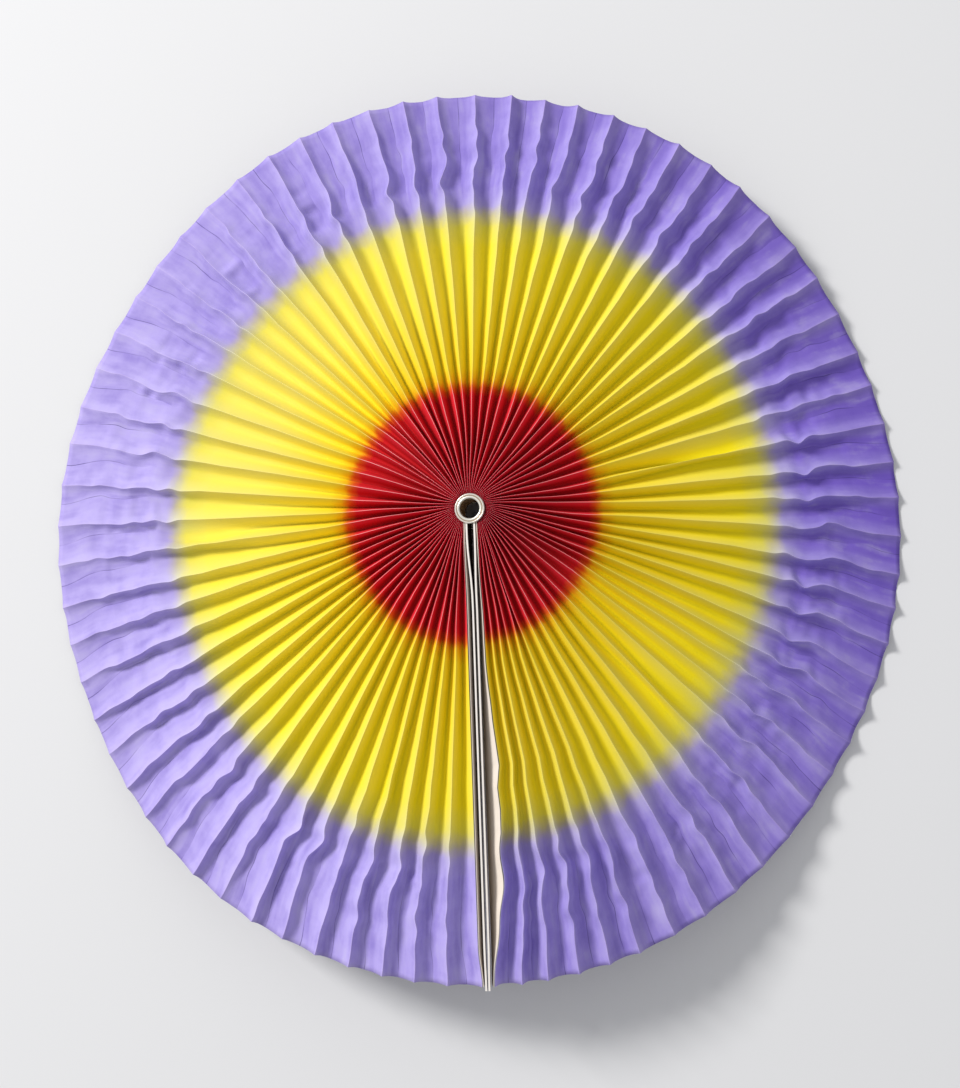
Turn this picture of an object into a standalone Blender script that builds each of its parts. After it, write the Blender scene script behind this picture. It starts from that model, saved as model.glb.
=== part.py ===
"""Paper fan rosette: one pleated strip of dyed paper, opened into a full circle.

The strip's folds gather round the barrel of an eyelet. Its two ends are faced with plain
white leaves and stiffened by two card guards, which stand side by side along -Y where the
circle closes. The rosette lies with its dyed side up. It is bowed like a shallow roof and
rests on the rim at its left and right.

Run with: blender --background --python part.py
Lengths are in metres. Azimuths are in degrees, clockwise from +Y as seen from above.
"""

import math
import random

import bmesh
import bpy
from mathutils import Matrix, Vector

MM = 0.001

# Paper strip
FOLD_LENGTH = 150 * MM  # from the hub's axis to the rim, along a fold
PLEAT_COUNT = 73  # valleys between the two end ridges
PLEAT_WIDTH = 6.8 * MM  # one face of a pleat, from fold to fold
PAPER_THICKNESS = 0.12 * MM
LEAST_DEPTH = 0.25  # flattest pleat, as a share of the pleat's width

# Dyed bands, as shares of the fold length
RED_EDGE = 0.275
YELLOW_EDGE = 0.69

# Bow of the whole circle: how far each fold slopes down from the hub
CREST_SLOPE = 5.0
SIDE_SLOPE = 11.9
GUARD_SLOPE = 0.0
BOW_AZIMUTH = 6.2  # direction of the crest, which stays highest
REST_BREADTH = 0.9  # 1 rests on a point at each side, less rests on an arc
GUARD_REACH = 35.0  # how far round the stiff guards hold the paper level

# Gathering: uneven spread of the pleats, as (half waves round the circle, degrees)
GATHERS = ((1, 4.3), (2, -5.4), (3, -0.4), (4, -3.0), (7, 0.4), (8, -0.5), (9, 0.4), (10, -0.3))
RIM_JITTER = 0.12  # random shift of a fold at the rim, in fold spacings
HUB_JITTER = 0.30
HUB_FADE = 1.0  # how fast the hub's own spacing gives way to the rim's
JITTER_SEED = 7

# Twist: the folds run straight past the hub's centre, as (half waves round the circle, degrees)
TWISTS = ((1, 1.4), (3, 0.3), (4, 0.9), (5, 0.6), (7, 1.3), (10, -1.0), (11, -0.3), (14, 0.8))

# Sag: valleys lie off the middle between their ridges, in fold spacings
SAG_ASIDE = 0.45  # at the left and right, where the pleats hang over towards the guards
SAG_AT_GUARDS = 0.15
SAG_ENDS = (0.1, 0.8)  # shares of the fold length between which the sag grows
SAG_EASES = 0.88  # it eases off from here to the rim

# Handling kinks: a ring where every fold jogs one way and then the other
KINK_INNER = 0.775  # share of the fold length
KINK_OUTER = 0.822
KINK_BREADTH = 0.017
KINK_TAIL = 0.07  # the outer jog eases off slowly towards the rim
KINK_ANGLE = 0.42
KINK_SPREAD = 0.75  # how unevenly the folds are kinked
VALLEY_KINK = 0.3  # a valley's jog, as a share of a ridge's

# Pinched pleats, as (ridge fold, middle and half length as shares of the fold length, closing)
PINCHES = ((102, 0.54, 0.2, 1.0), (36, 0.64, 0.1, 0.7), (126, 0.56, 0.12, 0.6), (8, 0.6, 0.14, 0.5))
PINCH_ANGLE = 0.5  # between a pinched ridge and the valley on each side

# Guards and the leaves beside them
CARD_THICKNESS = 0.6 * MM
CARD_GAP = 0.7 * MM  # between the two guards along most of their length
CARD_GAP_AT_HUB = 2.0 * MM
CARD_GAP_AT_TIP = 0.4 * MM
CARD_OVERHANG = 1.0 * MM  # guards stand this far past the rim
CARD_PROUD = 0.25 * MM  # guards stand this far above the ridges
LEAF_THICKNESS = 0.15 * MM
LEFT_SEAM = 1.05 * MM  # mean width of the left leaf as seen from above
RIGHT_SEAM = 1.2 * MM
RIGHT_BULGE = 2.9 * MM  # how far the right leaf swells out at mid length
RIGHT_WAVE = 0.45 * MM
RIGHT_WAVE_LENGTH = 19 * MM

# Where the seam's widths change, as shares of the fold length
SPREAD_ENDS = (0.06, 0.187)  # the guards leave their hub gap and reach the next
LEFT_OPENED = 0.2
RIGHT_OPENED = 0.3
BULGE_FULL = 0.567
WAVE_ENDS = (0.4, 0.533)
RIGHT_CLOSING = 0.8
TIP_START = 0.92
BULGE_REACH = 0.06  # share of the strip that gives way beside the swollen leaf

# Eyelet and its washer
BORE_RADIUS = 3.25 * MM
EYELET_WALL = 0.3 * MM
FLANGE_WIDTH = 1.45 * MM
FLANGE_HEIGHT = 0.6 * MM
CLINCH_WIDTH = 0.7 * MM
CLINCH_HEIGHT = 0.5 * MM
WASHER_WIDTH = 1.9 * MM
WASHER_THICKNESS = 0.35 * MM
HUB_LEAN = 10.0  # the crimped eyelet sits askew, its lower end towards +X
LEAN_ENDS = (7 * MM, 34 * MM)  # the paper follows the lean fully, then not at all

CLEARANCE = 0.3 * MM
TURN_STEPS = 32

# Worked out from the sizes above
FOLD_COUNT = 2 * PLEAT_COUNT
BARREL_RADIUS = BORE_RADIUS + EYELET_WALL
HUB_RADIUS = BARREL_RADIUS + 2 * CLEARANCE  # the gathered inner edge of the paper
CLAMP_RADIUS = BARREL_RADIUS + WASHER_WIDTH + 2 * CLEARANCE  # the paper is held level up to here
HUB_SHARE = HUB_RADIUS / FOLD_LENGTH
STACK_HALF = (PLEAT_WIDTH + PAPER_THICKNESS) / 2  # half the paper's height at the hub
STATION_SHARES = (0.0, 0.03, 0.08, 0.15, 0.24, 0.36, 0.52, 0.67, 0.73, 0.768, 0.815, 0.86, 0.92, 1.0)


def clear_scene():
    """Removes every object, so that the model is all there is."""
    for item in list(bpy.data.objects):
        bpy.data.objects.remove(item)


def smoothstep(low, high, value):
    """Rises smoothly from 0 at low to 1 at high."""
    share = min(1.0, max(0.0, (value - low) / (high - low)))
    return share * share * (3 - 2 * share)


def stations():
    """Distances from the hub's axis at which every fold has a point."""
    reach = FOLD_LENGTH - HUB_RADIUS
    marks = [HUB_RADIUS + share * reach for share in STATION_SHARES]
    for edge in (RED_EDGE, YELLOW_EDGE):
        target = edge * FOLD_LENGTH
        nearest = min(range(len(marks)), key=lambda index: abs(marks[index] - target))
        marks[nearest] = target
    return sorted(marks + [CLAMP_RADIUS])


STATIONS = stations()


def fold_jitter(seed, size):
    """Random sideways shift of each fold, in fold spacings, none at the two ends."""
    source = random.Random(seed)
    shifts = [source.uniform(-size, size) for _ in range(FOLD_COUNT + 1)]
    shifts[0] = shifts[-1] = 0.0
    return shifts


RIM_SHIFTS = fold_jitter(JITTER_SEED, RIM_JITTER)
HUB_SHIFTS = fold_jitter(JITTER_SEED + 1, HUB_JITTER)
INNER_KINKS = fold_jitter(JITTER_SEED + 2, KINK_SPREAD)
OUTER_KINKS = fold_jitter(JITTER_SEED + 3, KINK_SPREAD)


def slope_at(azimuth):
    """Angle in radians at which a fold at this azimuth slopes down from the hub."""
    across = math.sin(math.radians(azimuth - BOW_AZIMUTH)) ** 2
    bowed = CREST_SLOPE + (SIDE_SLOPE - CREST_SLOPE) * smoothstep(0, REST_BREADTH, across)
    from_guards = 180 - abs(azimuth)
    level = (CREST_SLOPE - GUARD_SLOPE) * math.exp(-((from_guards / GUARD_REACH) ** 2))
    return math.radians(bowed - level)


def card_gap(radius):
    """Half the gap between the two guards at this distance from the hub."""
    share = radius / FOLD_LENGTH
    gap = CARD_GAP_AT_HUB + (CARD_GAP - CARD_GAP_AT_HUB) * smoothstep(*SPREAD_ENDS, share)
    closing = (CARD_GAP - CARD_GAP_AT_TIP) * smoothstep(TIP_START, 1, share)
    return (gap - closing) / 2


def leaf_foot(radius):
    """Distance from the seam's middle to the near side of a leaf's foot, beside its guard."""
    return card_gap(radius) + CARD_THICKNESS + CLEARANCE


def seam_width(side, radius):
    """Distance from the seam's middle to the end ridge on this side: -1 is left, 1 is right.

    It leaves out the right leaf's bulge.
    """
    share = radius / FOLD_LENGTH
    least = leaf_foot(radius) + LEAF_THICKNESS + CLEARANCE
    if side < 0:
        opened = LEFT_SEAM * smoothstep(HUB_SHARE, LEFT_OPENED, share)
        closing = LEFT_SEAM * smoothstep(TIP_START, 1, share)
        return least + opened - 0.8 * closing
    opened = RIGHT_SEAM * smoothstep(HUB_SHARE, RIGHT_OPENED, share)
    return least + opened * (1 - 0.85 * smoothstep(RIGHT_CLOSING, 1, share))


def seam_bulge(radius):
    """How much further out the swollen right leaf pushes its end ridge."""
    share = radius / FOLD_LENGTH
    swell = RIGHT_BULGE * smoothstep(RIGHT_OPENED, BULGE_FULL, share)
    closing = smoothstep(RIGHT_CLOSING, 1, share)
    waving = smoothstep(*WAVE_ENDS, share) * (1 - closing)
    wave = RIGHT_WAVE * math.sin(2 * math.pi * radius / RIGHT_WAVE_LENGTH)
    return swell * (1 - 0.85 * closing) + wave * waving


def fold_share(index, radius):
    """Place of a fold along the opened strip, from 0 at the left end to 1 at the right."""
    even = index / FOLD_COUNT
    gather = sum(size * math.sin(math.pi * waves * even) for waves, size in GATHERS) / 360
    twist = sum(size * math.sin(math.pi * waves * even) for waves, size in TWISTS) / 360
    rim = even + gather + RIM_SHIFTS[index] / FOLD_COUNT
    hub = even + HUB_SHIFTS[index] / FOLD_COUNT
    straight = rim + twist * min(1.0, (FOLD_LENGTH / radius - 1) / 3)
    return straight + (hub - straight) * (HUB_RADIUS / radius) ** HUB_FADE


def jog(index, radius):
    """Shape of a fold's kink: one way at the inner peak, the other way at the outer one."""
    share = radius / FOLD_LENGTH
    inward = math.exp(-(((share - KINK_INNER) / KINK_BREADTH) ** 2))
    beyond = (share - KINK_OUTER) / (KINK_TAIL if share > KINK_OUTER else KINK_BREADTH)
    return (1 + OUTER_KINKS[index]) * math.exp(-beyond * beyond) - (1 + INNER_KINKS[index]) * inward


def kink(index, azimuth, radius):
    """Sideways jog of a fold in the kinked ring, in degrees: it changes sides round the circle."""
    turn = math.radians(azimuth)
    strength = math.cos(2 * turn - math.radians(20)) - 0.35 * math.sin(turn)
    held = smoothstep(0, 0.1, 1 - abs(azimuth) / 180)
    part = VALLEY_KINK if index % 2 else 1.0
    return KINK_ANGLE * strength * held * part * jog(index, radius)


def pinched(index, azimuth, radius):
    """Azimuth of a valley that lies against a pinched ridge, or the same azimuth elsewhere."""
    for fold, middle, half_length, closing in PINCHES:
        if abs(fold - index) == 1:
            along = (radius / FOLD_LENGTH - middle) / half_length
            beside = fold_azimuth(fold, radius) + (index - fold) * PINCH_ANGLE
            azimuth += (beside - azimuth) * closing * math.exp(-along * along)
    return azimuth


def sag(index, azimuth, radius):
    """Sideways shift of a valley, in fold spacings, where the pleats hang over."""
    if index % 2 == 0:
        return 0.0
    turn = math.radians(azimuth)
    share = radius / FOLD_LENGTH
    window = smoothstep(*SAG_ENDS, share) * (1 - 0.85 * smoothstep(SAG_EASES, 1, share))
    return (SAG_AT_GUARDS * (1 - math.cos(turn)) / 2 - SAG_ASIDE * math.sin(turn)) * window


def fold_azimuth(index, radius):
    """Azimuth of a fold at this distance from the hub."""
    left = -180 + math.degrees(math.asin(seam_width(-1, radius) / radius))
    right = 180 - math.degrees(math.asin(seam_width(1, radius) / radius))
    swollen = 180 - math.degrees(math.asin((seam_width(1, radius) + seam_bulge(radius)) / radius))
    plain = left + fold_share(index, radius) * (right - left)
    plain += (swollen - right) * math.exp((index / FOLD_COUNT - 1) / BULGE_REACH)
    hung = sag(index, plain, radius) * (right - left) / FOLD_COUNT
    return pinched(index, plain + hung + kink(index, plain, radius), radius)


def face_span(index, radius):
    """Sideways step of the pleat faces beside a fold: their mean and their least."""
    here = fold_azimuth(index, radius)
    spans = []
    for beside in (index - 1, index + 1):
        if 0 <= beside <= FOLD_COUNT:
            turn = math.radians(abs(fold_azimuth(beside, radius) - here))
            spans.append(radius * turn)
    return sum(spans) / len(spans), min(spans)


def pleat_depth(span):
    """Height from valley to ridge of pleats whose faces step this far sideways."""
    flattest = LEAST_DEPTH * PLEAT_WIDTH
    return math.sqrt(max(PLEAT_WIDTH**2 - span**2, flattest**2))


def bowed_point(azimuth, radius):
    """Point on the bowed middle surface, at this length from the hub's axis."""
    run = max(0.0, radius - CLAMP_RADIUS)
    slope = slope_at(azimuth)
    reach = radius - run * (1 - math.cos(slope))
    turn = math.radians(azimuth)
    return Vector((reach * math.sin(turn), reach * math.cos(turn), -run * math.sin(slope)))


def lean(point):
    """Turns a point near the hub with the askew eyelet, less and less further out."""
    share = 1 - smoothstep(*LEAN_ENDS, math.hypot(point.x, point.y))
    return Matrix.Rotation(math.radians(-HUB_LEAN * share), 3, "Y") @ point


def sheet_point(index, station, layer):
    """Point of the pleated strip: layer 1 is its dyed upper side, layer 0 its back.

    Both sides keep the same plan, so that steep pleats crowd at the hub without crossing.
    """
    radius = STATIONS[station]
    mean, least = face_span(index, radius)
    depth = pleat_depth(mean)
    wall = min(PAPER_THICKNESS * PLEAT_WIDTH / least, 0.9 * depth)
    point = bowed_point(fold_azimuth(index, radius), radius)
    if index % 2 == 0:
        top = (depth + PAPER_THICKNESS) / 2
        point.z += top if layer else top - wall
    else:
        back = -(depth + PAPER_THICKNESS) / 2
        point.z += back + wall if layer else back
    return lean(point)


def seam_frame(radius, sideways, height):
    """Point beside the seam: sideways is positive to the right, height is above the middle."""
    point = bowed_point(180.0, radius)
    return lean(Vector((sideways, point.y, point.z + height)))


def leaf_point(side, across, station, layer):
    """Point of a white end leaf, from its foot at the guard (across 0) up to the end ridge."""
    radius = STATIONS[station]
    foot = leaf_foot(radius)
    ridge_at = seam_width(side, radius) + (seam_bulge(radius) if side > 0 else 0.0)
    head = ridge_at - CLEARANCE - LEAF_THICKNESS
    end = 0 if side < 0 else FOLD_COUNT
    ridge = pleat_depth(face_span(end, radius)[0]) / 2
    belly = 0.12 * (head - foot) * math.sin(math.pi * across)
    sideways = foot + across * (head - foot) - belly + layer * LEAF_THICKNESS
    azimuth = fold_azimuth(end, radius)
    drop = bowed_point(azimuth, radius).z - bowed_point(180.0, radius).z
    low = -PLEAT_WIDTH / 2
    return seam_frame(radius, side * sideways, low + across * (ridge + drop - low))


def card_point(side, across, station, layer):
    """Point of a card guard, from its lower edge (across 0) to its upper edge (across 1)."""
    last = len(STATIONS) - 1
    radius = STATIONS[station] + (CARD_OVERHANG if station == last else 0.0)
    sideways = card_gap(radius) + layer * CARD_THICKNESS
    height = PLEAT_WIDTH * (across - 0.5) + across * CARD_PROUD
    return seam_frame(radius, side * sideways, height)


def folded_layer(name, across, place, materials):
    """Makes one closed layer of paper or card, folded into place from a flat grid.

    place(column, station, layer) gives each point, with layer 0 or 1 for the two sides.
    """
    along = len(STATIONS) - 1
    bm = bmesh.new()
    bmesh.ops.create_grid(bm, x_segments=across, y_segments=along, size=1.0)
    bmesh.ops.triangulate(bm, faces=bm.faces, quad_method="FIXED")
    raised = bmesh.ops.extrude_face_region(bm, geom=bm.faces)
    lifted = [item for item in raised["geom"] if isinstance(item, bmesh.types.BMVert)]
    bmesh.ops.translate(bm, verts=lifted, vec=(0, 0, 1))
    for vert in bm.verts:
        column = round((vert.co.x + 1) / 2 * across)
        station = round((vert.co.y + 1) / 2 * along)
        vert.co = place(column, station, round(vert.co.z))
    bmesh.ops.triangulate(bm, faces=[face for face in bm.faces if len(face.verts) > 3])
    bmesh.ops.recalc_face_normals(bm, faces=bm.faces)
    return finished(name, bm, materials)


def finished(name, bm, materials):
    """Turns a bmesh into a named object in the rosette's collection."""
    mesh = bpy.data.meshes.new(name)
    bm.to_mesh(mesh)
    bm.free()
    for material in materials:
        mesh.materials.append(material)
    item = bpy.data.objects.new(name, mesh)
    bpy.data.collections["paper_fan_rosette"].objects.link(item)
    return item


def paper_finish(name, colour, roughness=0.75, metallic=0.0):
    """Plain material with one colour."""
    material = bpy.data.materials.new(name)
    material.use_nodes = True
    shader = material.node_tree.nodes["Principled BSDF"]
    shader.inputs["Base Color"].default_value = (*colour, 1)
    shader.inputs["Roughness"].default_value = roughness
    shader.inputs["Metallic"].default_value = metallic
    return material


def make_sheet():
    """The pleated strip, dyed red at the hub, then yellow, then purple to the rim."""
    dyes = (
        paper_finish("red_dye", (0.40, 0.004, 0.012)),
        paper_finish("yellow_dye", (0.91, 0.72, 0.02)),
        paper_finish("purple_dye", (0.31, 0.20, 0.62)),
    )
    sheet = folded_layer("pleated_sheet", FOLD_COUNT, sheet_point, dyes)
    for face in sheet.data.polygons:
        share = math.hypot(face.center.x, face.center.y) / FOLD_LENGTH
        face.material_index = (share > RED_EDGE) + (share > YELLOW_EDGE)
    return sheet


def make_seam_pieces():
    """The two card guards and the white leaf beside each of them."""
    card = paper_finish("white_card", (0.86, 0.84, 0.80), 0.6)
    leaf = paper_finish("white_paper", (0.82, 0.80, 0.78), 0.8)
    leaf_rows = 3
    pieces = []
    for side, word in ((-1, "left"), (1, "right")):

        def card_place(column, station, layer, side=side):
            return card_point(side, column, station, layer)

        def leaf_place(column, station, layer, side=side):
            return leaf_point(side, column / leaf_rows, station, layer)

        pieces.append(folded_layer(f"{word}_guard_card", 1, card_place, [card]))
        pieces.append(folded_layer(f"{word}_end_leaf", leaf_rows, leaf_place, [leaf]))
    return pieces


def bead(centre, half_width, height, start, stop, count):
    """Points of a round bead in a turned profile, from one angle to another in degrees."""
    points = []
    for step in range(count + 1):
        angle = math.radians(start + (stop - start) * step / count)
        across = centre + half_width * math.cos(angle)
        points.append((across, height[0] + height[1] * math.sin(angle)))
    return points


def eyelet_profile():
    """Section of the eyelet: bore lip, rolled flange, barrel and clinched lower end."""
    seat = STACK_HALF + CLEARANCE
    clinch = -(seat + WASHER_THICKNESS + CLEARANCE)
    lip = EYELET_WALL + 0.15 * FLANGE_WIDTH
    groove = BORE_RADIUS + 2 * lip
    roll = (BARREL_RADIUS + FLANGE_WIDTH - groove) / 2
    outer = bead(groove + roll, roll, (seat, FLANGE_HEIGHT), 160, 0, 6)
    inner = bead(BORE_RADIUS + lip, lip, (seat + 0.1 * FLANGE_HEIGHT, 0.9 * FLANGE_HEIGHT), 180, 30, 5)
    curl = CLINCH_WIDTH / 2
    tail = bead(BARREL_RADIUS + curl, curl, (clinch, -CLINCH_HEIGHT), 0, 150, 5)
    under = [(BARREL_RADIUS, seat), (BARREL_RADIUS, clinch)]
    return inner + outer + under + tail + [(BORE_RADIUS, clinch - CLINCH_HEIGHT / 2)]


def washer_profile():
    """Section of the washer under the paper: eased outer edge, bore sunk where the clinch curls."""
    top = -(STACK_HALF + CLEARANCE)
    bottom = top - WASHER_THICKNESS
    inner = BARREL_RADIUS + CLEARANCE
    outer = inner + WASHER_WIDTH
    sink = BARREL_RADIUS + CLINCH_WIDTH + CLEARANCE / 2
    ease = WASHER_THICKNESS / 3
    upper = [(inner, top), (outer - ease, top), (outer, top - ease)]
    return upper + [(outer, bottom), (sink, bottom), (inner, bottom + ease)]


def make_turned(name, profile, material):
    """A ring turned about the hub's axis from a closed section, leaning with the hub."""
    bm = bmesh.new()
    corners = [bm.verts.new((across, 0, height)) for across, height in profile]
    for first, second in zip(corners, corners[1:] + corners[:1]):
        bm.edges.new((first, second))
    item = finished(name, bm, [material])
    turn = item.modifiers.new("turn", "SCREW")
    turn.steps = TURN_STEPS
    turn.render_steps = TURN_STEPS
    turn.use_merge_vertices = True
    turn.merge_threshold = 0.00001
    turn.use_smooth_shade = False
    item.rotation_euler = (0, math.radians(-HUB_LEAN), 0)
    return item


def set_down(pieces):
    """Moves all pieces together: lowest point on the floor, origin under the box's middle."""
    bpy.context.view_layer.update()
    graph = bpy.context.evaluated_depsgraph_get()
    points = []
    for piece in pieces:
        shaped = piece.evaluated_get(graph)
        points += [piece.matrix_world @ vert.co for vert in shaped.data.vertices]
    low = Vector([min(point[axis] for point in points) for axis in range(3)])
    high = Vector([max(point[axis] for point in points) for axis in range(3)])
    shift = Vector((-(low.x + high.x) / 2, -(low.y + high.y) / 2, -low.z))
    for piece in pieces:
        piece.location = shift


def main():
    clear_scene()
    collection = bpy.data.collections.new("paper_fan_rosette")
    bpy.context.scene.collection.children.link(collection)
    nickel = paper_finish("nickel_plate", (0.62, 0.60, 0.56), 0.3, 1.0)
    pieces = [make_sheet()]
    pieces += make_seam_pieces()
    pieces.append(make_turned("eyelet", eyelet_profile(), nickel))
    pieces.append(make_turned("eyelet_washer", washer_profile(), nickel))
    set_down(pieces)


main()
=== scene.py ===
"""Looks of a paper fan rosette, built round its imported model.

The rosette is one pleated strip of dyed paper that closes into a full circle along two card
guards. Each class below makes and dresses one sub-assembly: the pleated sheet, the seam with its
guards and white leaves, and the hub with its eyelet and washer. Lengths are in metres unless a
name ends in _mm, and azimuths are in radians, clockwise from +Y as seen from above. A share
without another word is a share of the fold length.
"""

import logging
import math
import random
from dataclasses import dataclass
from enum import Enum
from functools import cached_property
from typing import Any, Optional

import bpy
import numpy as np
from mathutils import Matrix, Vector


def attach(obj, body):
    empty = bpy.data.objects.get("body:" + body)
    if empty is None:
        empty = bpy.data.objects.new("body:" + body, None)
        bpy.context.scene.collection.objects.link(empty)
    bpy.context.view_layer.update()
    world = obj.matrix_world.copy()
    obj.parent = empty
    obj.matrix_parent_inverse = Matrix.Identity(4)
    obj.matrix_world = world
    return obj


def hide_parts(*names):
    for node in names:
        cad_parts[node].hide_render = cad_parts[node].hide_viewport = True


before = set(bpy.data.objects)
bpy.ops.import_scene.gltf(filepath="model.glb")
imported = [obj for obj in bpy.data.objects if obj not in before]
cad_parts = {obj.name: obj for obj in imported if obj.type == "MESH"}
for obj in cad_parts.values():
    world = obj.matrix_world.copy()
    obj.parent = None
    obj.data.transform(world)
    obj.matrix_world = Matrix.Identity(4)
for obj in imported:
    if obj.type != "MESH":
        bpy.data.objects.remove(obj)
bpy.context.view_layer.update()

LOG = logging.getLogger("rosette")
BODY = "root"
MM = 0.001
HUB = Vector((0.0053, 0.7747, 31.2719)) * MM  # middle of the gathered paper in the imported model
TURN_STEPS = 96  # steps round the hub's axis

Tree = bpy.types.NodeTree
Socket = bpy.types.NodeSocket
Span = tuple[float, float]
Levels = tuple[tuple[float, float], ...]


class Side(Enum):
    """The two sides of the seam, as signs along X."""

    LEFT = -1
    RIGHT = 1


class Crease(Enum):
    """The two kinds of fold, as columns in a list of dye rings."""

    RIDGE = 1
    VALLEY = 2


def smoothstep(low: float, high: float, value: Any) -> Any:
    """Rises smoothly from 0 to 1.

    Args:
        low: Value at which the rise starts.
        high: Value at which it ends.
        value: A number or an array.

    Returns:
        The share risen, of the same shape as value.
    """
    share = np.clip((np.asarray(value, float) - low) / (high - low), 0.0, 1.0)
    return share * share * (3 - 2 * share)


def linear(hex_colour: str) -> tuple[float, float, float, float]:
    """Turns an sRGB hex colour into the linear colour that a shader takes.

    Args:
        hex_colour: Six hex digits, such as "f7e420".

    Returns:
        Linear red, green, blue and an alpha of 1.
    """
    parts = [int(hex_colour[at : at + 2], 16) / 255 for at in (0, 2, 4)]
    bent = [part / 12.92 if part <= 0.04045 else ((part + 0.055) / 1.055) ** 2.4 for part in parts]
    return (bent[0], bent[1], bent[2], 1.0)


@dataclass(frozen=True)
class FoldLaw:
    """Where every fold of the opened strip lies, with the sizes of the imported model."""

    fold_length: float = 150 * MM  # from the hub's axis to the rim, along a fold
    pleat_count: int = 73
    pleat_width: float = 6.8 * MM  # one face, from fold to fold
    paper: float = 0.12 * MM
    least_depth: float = 0.25  # of the flattest pleat, as a share of its width
    crest_slope: float = math.radians(5.0)
    side_slope: float = math.radians(11.9)
    guard_slope: float = 0.0
    bow_azimuth: float = math.radians(6.2)  # direction of the crest, which stays highest
    rest_breadth: float = 0.9  # 1 rests on a point at each side, less rests on an arc
    guard_reach: float = math.radians(35.0)  # how far round the guards hold the paper
    hub_radius: float = 4.15 * MM
    clamp_radius: float = 6.05 * MM  # the eyelet holds the paper level up to here
    hub_lean: float = math.radians(10.0)
    lean_fades: Span = (7 * MM, 34 * MM)
    clearance: float = 0.3 * MM

    @property
    def folds(self) -> int:
        """Number of faces in the strip, which is also the last fold's index."""
        return 2 * self.pleat_count

    def slope(self, azimuth: np.ndarray) -> np.ndarray:
        """Works out how steeply the folds slope down from the hub.

        Args:
            azimuth: Azimuth of each fold.

        Returns:
            The slope angle: least at the crest of the bow and where the guards hold the paper.
        """
        across = np.sin(azimuth - self.bow_azimuth) ** 2
        rise = self.side_slope - self.crest_slope
        bowed = self.crest_slope + rise * smoothstep(0, self.rest_breadth, across)
        from_guards = math.pi - np.abs(azimuth)
        held = np.exp(-((from_guards / self.guard_reach) ** 2))
        return bowed - (self.crest_slope - self.guard_slope) * held

    def bowed(self, azimuth: np.ndarray, radius: np.ndarray) -> np.ndarray:
        """Places points on the bowed middle surface about the hub.

        Args:
            azimuth: Azimuth of each point.
            radius: Its distance from the hub's axis along the paper.

        Returns:
            Array of points, with the coordinates on the last axis.
        """
        azimuth, radius = np.broadcast_arrays(azimuth, radius)
        run = np.maximum(0.0, radius - self.clamp_radius)
        slope = self.slope(azimuth)
        reach = radius - run * (1 - np.cos(slope))
        return np.stack(
            [reach * np.sin(azimuth), reach * np.cos(azimuth), -run * np.sin(slope)], -1
        )

    @staticmethod
    def tipped(points: np.ndarray, angle: Any) -> np.ndarray:
        """Turns points about the Y axis through the hub.

        Args:
            points: Points in the hub's own frame.
            angle: One angle, or one for each point.

        Returns:
            The turned points.
        """
        cos, sin = np.cos(angle), np.sin(angle)
        x, y, z = points[..., 0], points[..., 1], points[..., 2]
        return np.stack([x * cos + z * sin, y, z * cos - x * sin], -1)

    def placed(self, points: np.ndarray) -> np.ndarray:
        """Leans points with the askew eyelet and moves them to the rosette's frame.

        Args:
            points: Points in the hub's own frame.

        Returns:
            The placed points, which lean less and less further out.
        """
        distance = np.hypot(points[..., 0], points[..., 1])
        angle = -self.hub_lean * (1 - smoothstep(*self.lean_fades, distance))
        return self.tipped(points, angle) + np.array(HUB)


LAW = FoldLaw()


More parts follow.
